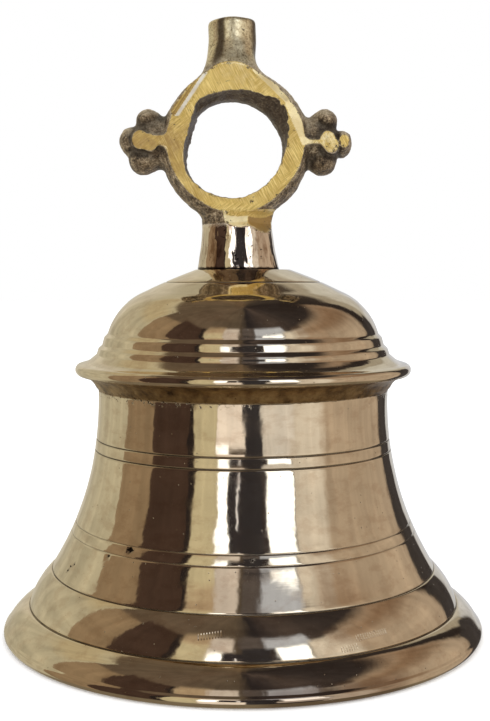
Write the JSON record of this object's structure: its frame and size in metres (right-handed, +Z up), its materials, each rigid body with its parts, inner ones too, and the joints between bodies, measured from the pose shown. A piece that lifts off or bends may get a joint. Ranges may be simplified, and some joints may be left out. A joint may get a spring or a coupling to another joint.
{
  "type": "temple bell",
  "caption": "Flared brass temple bell with a stepped dome, a cast hanging ring with trefoil buds, and a hung clapper inside.",
  "frame": {"origin": "centre of the mouth, in the plane of the rim that the bell stands on", "axes": "+Z up along the bell's axis; the hole of the hanging ring runs along Y and the trefoil buds point along X"},
  "size_m": [0.2, 0.2, 0.2529],
  "materials": {
    "polished_bell_brass": "mirror polished bell metal, pale gold, with fine turning lines and small casting pits",
    "crown_brass": "as-cast brass with brown patina and bright filed faces",
    "clapper_brass": "turned brass, dull and struck bright round the middle",
    "forged_iron": "dark forged iron with bright worn places",
    "zinc_steel": "dull plated steel"
  },
  "bodies": {
    "bell": {"bell_shell": "polished_bell_brass", "crown_ring": "crown_brass", "clapper_eyebolt": "forged_iron", "seat_washer": "zinc_steel", "clamp_nut": "zinc_steel"},
    "link": {"swivel_link": "forged_iron"},
    "clapper": {"clapper_rod": "forged_iron", "clapper_ball": "clapper_brass", "tail_washer": "zinc_steel", "tail_nut": "zinc_steel"}
  },
  "joints": [
    {"name": "link_swing", "type": "hinge", "parent": "bell", "child": "link", "pos_m": [0, 0, 0.1185], "axis": [1, 0, 0], "range_deg": [-10, 10]},
    {"name": "clapper_swing", "type": "hinge", "parent": "link", "child": "clapper", "pos_m": [0, 0, 0.1045], "axis": [0, 1, 0], "range_deg": [-36, 36]}
  ]
}
